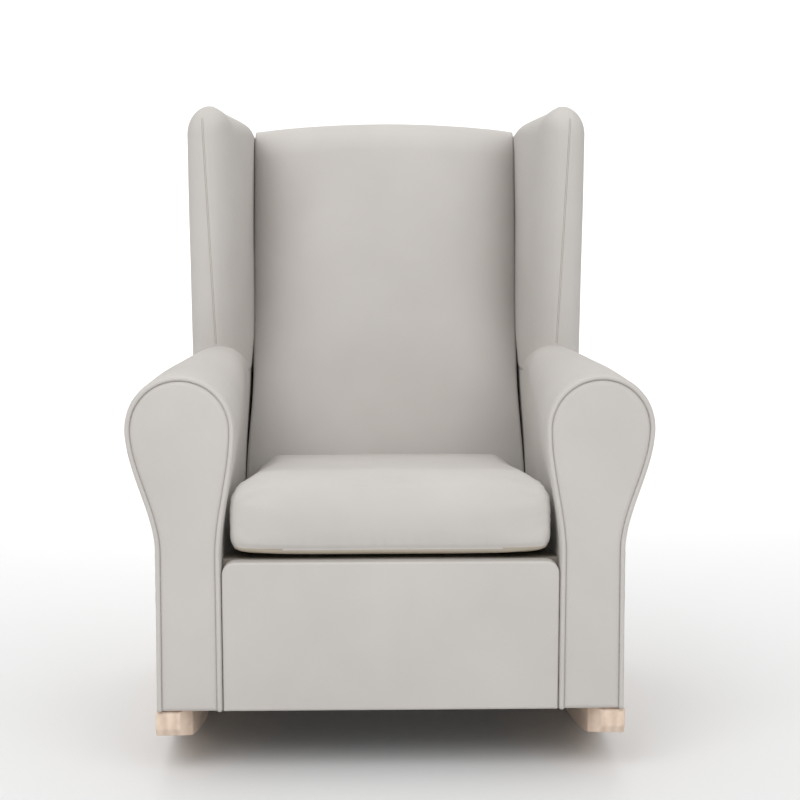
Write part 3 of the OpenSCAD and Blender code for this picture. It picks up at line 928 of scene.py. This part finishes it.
apron = {
    "corner": 0.020,
    "edge": 0.0035,
    "cuts": 60,
    "puff": 0.002,
    "wave": 0.0007,
    "waveSize": 0.13,
}
centre = (apronLow + apronHigh) / 2
half = (apronHigh - apronLow) / 2
extra = apron["corner"] + 0.004  # the round corners at the foot are cut off again
slab = Vector((half.x, half.z + extra / 2, half.y))
bm = roundSlab(slab, apron["corner"], apron["edge"], apron["edge"], apron["cuts"])
bmesh.ops.translate(bm, vec=(0, -extra / 2, 0), verts=bm.verts)
cutAway(bm, (0, -half.z, 0), (0, -1, 0))
for vert in bm.verts:
    p = Vector((vert.co.x, -vert.co.z, vert.co.y))
    if p.y < 0:
        p.y -= apron["puff"] * (1 - (p.x / half.x) ** 2) * (1 - (p.z / half.z) ** 2)
        p.y += apron["wave"] * ripple((p.x, 0, p.z), apron["waveSize"], 2.0)
    vert.co = p + centre
facesOut(bm)
splitLargeFaces(bm)
frontPanel = toObject(bm, "frontPanel", [cloth])
place(frontPanel, "chair", "upholstery", "apron")
print("front panel done")


# loose seat cushion

coverLow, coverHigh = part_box("cushion_cover")
deckThick = 0.018
slope = (deckHigh.z - deckLow.z - deckThick) / (deckHigh.y - deckLow.y)
cushion = {
    "halfWide": coverHigh.x,
    "frontY": coverLow.y,
    "rearY": coverHigh.y,
    "thick": 0.130,
    "plan": 0.013,
    "over": 0.028,
    "under": 0.012,
    "cuts": 60,
    "crown": 0.007,
    "pinch": 0.009,      # the front corners are lifted by this much underneath
    "seamZ": 0.0145,
    "rearLean": 0.12,
    "snug": 0.2458,
    "nose": 0.035,
    "shrink": 0.0035,
    "voxel": 0.006,
    "pressure": 4.0,
    "cap": 0.009,
    "tighten": 0.004,
    "bend": 6.0,
    "tuck": 0.0022,
    "tuckWide": 0.0045,
    "pucker": 0.0005,    # small gathers above the seam
    "cornerPucker": 0.0013,
    "cornerTuck": 0.0011,
    "wave": 0.0012,
    "waveSize": 0.12,
}
middleY = (cushion["frontY"] + cushion["rearY"]) / 2


# height of the cushion's underside at depth y
def underZ(y):
    return deckHigh.z + 0.001 - (y - deckLow.y) * slope


def cushionMesh(shrink):
    size = cushion
    deep = (size["rearY"] - size["frontY"]) / 2
    half = Vector((size["halfWide"] - shrink, deep - shrink, size["thick"] / 2 - shrink))
    bm = roundSlab(half, size["plan"], size["over"], size["under"], size["cuts"])
    for vert in bm.verts:
        p = vert.co.copy()
        fx, fy, fz = p.x / half.x, p.y / half.y, p.z / half.z
        crown = size["crown"] * (1 - fx ** 4) * (1 - fy ** 4) - size["crown"] * 0.6
        p.z += crown * max(0.0, fz)
        if fy < 0:
            low = 1 - span(fz, -1.0, -0.3)
            p.z += size["pinch"] * abs(fx) ** 7 * abs(fy) ** 5 * low
            p.x -= math.copysign(0.004, p.x) * abs(fx) ** 3 * abs(fy) ** 5 * low
        y = p.y + middleY
        y += min(0.0, (p.z - half.z) * size["rearLean"] * max(0.0, fy))
        vert.co = Vector((p.x, y, underZ(y) + half.z + shrink + p.z))
    facesOut(bm)
    return bm


# let the cover swell under pressure between its held seams, no further than the cap
def puffed(obj, look, held):
    remesh = obj.modifiers.new("remesh", "REMESH")
    remesh.mode = "VOXEL"
    remesh.voxel_size = look["voxel"]
    apply(obj)
    start = [v.co.copy() for v in obj.data.vertices]
    group = obj.vertex_groups.new(name="held")
    for i, co in enumerate(start):
        weight = held(co)
        if weight > 0:
            group.add([i], weight, "REPLACE")
    press = obj.modifiers.new("press", "CLOTH")
    settings = press.settings
    settings.quality = 5
    settings.mass = 0.3
    settings.tension_stiffness = 12
    settings.compression_stiffness = 12
    settings.shear_stiffness = 5
    settings.bending_stiffness = look["bend"]
    settings.use_pressure = True
    settings.uniform_pressure_force = look["pressure"]
    settings.shrink_min = look["tighten"]
    settings.vertex_group_mass = "held"
    settings.effector_weights.gravity = 0
    settings.air_damping = 4
    press.collision_settings.use_collision = False
    press.point_cache.frame_start = 1
    press.point_cache.frame_end = 20
    for step in range(1, 21):
        scene.frame_set(step)
    apply(obj)
    scene.frame_set(1)
    obj.vertex_groups.clear()
    for vert, before in zip(obj.data.vertices, start):
        move = vert.co - before
        if move.length > look["cap"]:
            vert.co = before + move.normalized() * look["cap"]
    bm = bmesh.new()
    bm.from_mesh(obj.data)
    for _ in range(2):
        axes = {"use_axis_" + axis: True for axis in "xyz"}
        bmesh.ops.smooth_vert(bm, verts=bm.verts, factor=0.5, **axes)
    bm.to_mesh(obj.data)
    bm.free()


def apply(obj):
    bpy.context.view_layer.update()
    shaped = obj.evaluated_get(bpy.context.evaluated_depsgraph_get())
    mesh = bpy.data.meshes.new_from_object(shaped)
    old = obj.data
    materials = list(old.materials)
    obj.modifiers.clear()
    obj.data = mesh
    mesh.materials.clear()
    for material in materials:
        mesh.materials.append(material)
    name = old.name
    bpy.data.meshes.remove(old)
    mesh.name = name


# height of the seam above the underside, lifted at the front corners
def seamAt(x, y):
    lift = cushion["pinch"] * abs(x / cushion["halfWide"]) ** 7 * span(middleY - y, 0.17, 0.26)
    return underZ(y) + cushion["seamZ"] + 0.8 * lift


# distance from the nearest upright corner, in plan
def cornerSide(co):
    x = cushion["halfWide"] - 0.004 - abs(co.x)
    y = min(abs(co.y - cushion["frontY"] - 0.004), abs(co.y - cushion["rearY"] + 0.02))
    return math.hypot(x, y)


def cushionHeld(co):
    if co.z < underZ(co.y) + 0.003:
        return 1.0
    weight = 1 - span(abs(co.z - seamAt(co.x, co.y)), 0.004, 0.009)
    if co.z < underZ(co.y) + 0.090:
        weight = max(weight, 0.8 * (1 - span(cornerSide(co), 0.008, 0.016)))
    return weight


bm = cushionMesh(cushion["shrink"])
seatCushion = toObject(bm, "seatCushion", [cloth, baseCloth])
puffed(seatCushion, cushion, cushionHeld)
bm = bmesh.new()
bm.from_mesh(seatCushion.data)
widest = max(abs(v.co.x) for v in bm.verts)
noseWide = max(abs(v.co.x) for v in bm.verts if v.co.y < cushion["frontY"] + cushion["nose"])
ahead = cushion["frontY"] + 0.001 - min(v.co.y for v in bm.verts)
for vert in bm.verts:
    vert.co.x *= cushion["snug"] / mix(widest, noseWide, span(middleY - vert.co.y, 0.08, 0.2))
    vert.co.y += ahead * span(middleY - vert.co.y, -0.1, 0.24)
bmesh.ops.subdivide_edges(bm, edges=bm.edges, cuts=1, use_grid_fill=True)
bm.normal_update()
for vert in bm.verts:
    p = vert.co
    off = p.z - seamAt(p.x, p.y)
    tuck = cushion["tuck"] * math.exp(-(off / cushion["tuckWide"]) ** 2)
    gather = ripple((p.x, p.y, p.z * 0.25), 0.012, 9.0)
    pucker = cushion["pucker"] * gather * math.exp(-((off - 0.010) / 0.012) ** 2)
    side = cornerSide(p)
    if p.y < middleY and off > 0:
        gather = ripple((0, 0, p.z + 0.4 * side), 0.014, 5.0)
        pucker += cushion["cornerPucker"] * gather * math.exp(-((side - 0.012) / 0.014) ** 2)
        tuck += cushion["cornerTuck"] * math.exp(-(side / 0.0035) ** 2)
    soft = cushion["wave"] * ripple(p, cushion["waveSize"], 6.0)
    sides = ramp(p.z - underZ(p.y), 0.002, 0.010)
    vert.co = p + vert.normal * ((soft + pucker) * sides - tuck)
for face in bm.faces:
    c = face.calc_center_median()
    face.material_index = 1 if c.z < seamAt(c.x, c.y) else 0
    face.smooth = True
bm.to_mesh(seatCushion.data)
bm.free()
place(seatCushion, "seat_cushion", "upholstery", "cushion_cover", "cushion_base", "cushion_foam")
print("cushion done")


# rockers

rocker = {
    "bevel": 0.0022,
    "chamfer": 0.018,
    "chamferDeep": 0.024,
    "radius": 1.54,
    "noseLift": 0.010,                 # the nose starts this far above the curve
    "noseRun": 0.007,
    "tailRun": 0.008,
    "tailHigh": (0.010, 0.032, 0.038),  # corners of the tail above the curve
    "rearStep": 0.002,
    "noseCorner": 0.004,
    "curvePoints": 60,
    "sharp": 0.35,                     # edges turning by more than this are rounded
}
for sign, side in rightLeft:
    low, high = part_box("rocker_" + side)
    x0, x1 = sorted((abs(low.x), abs(high.x)))
    mount = next(m for m in frame["record"]["mounts"] if m["name"] == "floor_" + side)
    balanceY = Vector(mount["pos_m"]).y

    def riseAt(y):
        return rocker["radius"] - math.sqrt(rocker["radius"] ** 2 - (y - balanceY) ** 2)

    outline = [(low.y, riseAt(low.y) + rocker["noseLift"])]
    for i in range(rocker["curvePoints"] + 1):
        y = mix(low.y + rocker["noseRun"], high.y - rocker["tailRun"], i / rocker["curvePoints"])
        outline.append((y, riseAt(y)))
    under, middle, top = [riseAt(high.y) + h for h in rocker["tailHigh"]]
    outline += [(high.y, under), (high.y, middle), (high.y - 0.010, top)]
    corner = rocker["noseCorner"]
    outline.append((backY(high.z) + rocker["rearStep"], high.z))
    outline += [(low.y + corner, high.z), (low.y, high.z - corner)]
    bm = bmesh.new()
    face = bm.faces.new([bm.verts.new((x0, y, z)) for y, z in outline])
    grown = newVerts(bmesh.ops.extrude_face_region(bm, geom=[face]))
    bmesh.ops.translate(bm, verts=grown, vec=(x1 - x0, 0, 0))
    bmesh.ops.recalc_face_normals(bm, faces=bm.faces)
    aim = Vector((-rocker["chamferDeep"], -rocker["chamfer"], 0)).normalized()
    cutAway(bm, Vector((x0 + rocker["chamfer"], low.y, 0)), aim)
    bmesh.ops.recalc_face_normals(bm, faces=bm.faces)
    sharp = [e for e in bm.edges if len(e.link_faces) == 2 and e.calc_face_angle(0) > rocker["sharp"]]
    bmesh.ops.bevel(bm, geom=sharp, offset=rocker["bevel"], segments=3, profile=0.5, affect="EDGES")
    if sign < 0:
        mirrored(bm)
    facesOut(bm)
    made = toObject(bm, "rocker_" + side + "_wood", [rockerWood], smooth=False)
    place(made, "chair", "rocker_wood", "rocker_" + side)
print("rockers done")


# floor, lights and camera

floorMaterial, _, floorShader = newMaterial("paleFloor")
floorShader.inputs["Base Color"].default_value = (0.80, 0.80, 0.80, 1)
floorShader.inputs["Roughness"].default_value = 0.9
sweep = {
    "wide": 16.0,
    "near": -9.0,
    "bendY": 3.0,
    "bendR": 2.5,
    "high": 7.0,
}


def sweepSpot(u, v):
    run = v * (sweep["bendY"] - sweep["near"] + sweep["bendR"] * math.pi / 2 + sweep["high"])
    y = sweep["near"] + run
    z = 0.0
    bent = y - sweep["bendY"]
    if bent > 0:
        a = min(bent / sweep["bendR"], math.pi / 2)
        y = sweep["bendY"] + sweep["bendR"] * math.sin(a)
        z = sweep["bendR"] * (1 - math.cos(a)) + max(0.0, bent - sweep["bendR"] * math.pi / 2)
    return Vector(((u - 0.5) * sweep["wide"], y, z))


bm = gridSheet(2, 160, sweepSpot)
floor = toObject(bm, "floor", [floorMaterial])

world = bpy.data.worlds.new("studio")
scene.world = world
world.use_nodes = True
sky = world.node_tree.nodes["Background"]
sky.inputs["Color"].default_value = (1, 1, 1, 1)
sky.inputs["Strength"].default_value = 0.64

# lamps point at the middle of the chair unless they say where
chairMiddle = (0, 0, 0.75)
lamps = {
    "keyLamp": {"at": (-1.1, -2.2, 2.45), "size": 1.8, "power": 33},
    "fillLamp": {"at": (1.4, -2.3, 2.3), "size": 2.0, "power": 22},
    "topLamp": {"at": (0.0, -0.2, 3.4), "size": 2.4, "power": 6},
    "backdropLamp": {"at": (0.0, 2.2, 4.2), "size": 3.0, "power": 170, "to": (0, 5.5, 1.5)},
}
for name, lamp in lamps.items():
    light = bpy.data.lights.new(name, "AREA")
    light.size = lamp["size"]
    light.energy = lamp["power"]
    holder = bpy.data.objects.new(name, light)
    bpy.context.collection.objects.link(holder)
    holder.location = lamp["at"]
    aim = Vector(lamp.get("to", chairMiddle)) - Vector(lamp["at"])
    holder.rotation_euler = aim.to_track_quat("-Z", "Y").to_euler()

eye = {
    "at": (-0.0412, -2.769, 0.916),
    "pitch": -7.829,
    "yaw": 1.3247,
    "lens": 72.0,
    "sensor": 36.0,
}
camera = bpy.data.objects.new("camera", bpy.data.cameras.new("camera"))
bpy.context.collection.objects.link(camera)
camera.data.lens = eye["lens"]
camera.data.sensor_width = eye["sensor"]
camera.location = eye["at"]
camera.rotation_euler = Euler((math.radians(90 + eye["pitch"]), 0, math.radians(-eye["yaw"])))
scene.camera = camera
scene.view_settings.view_transform = "Standard"
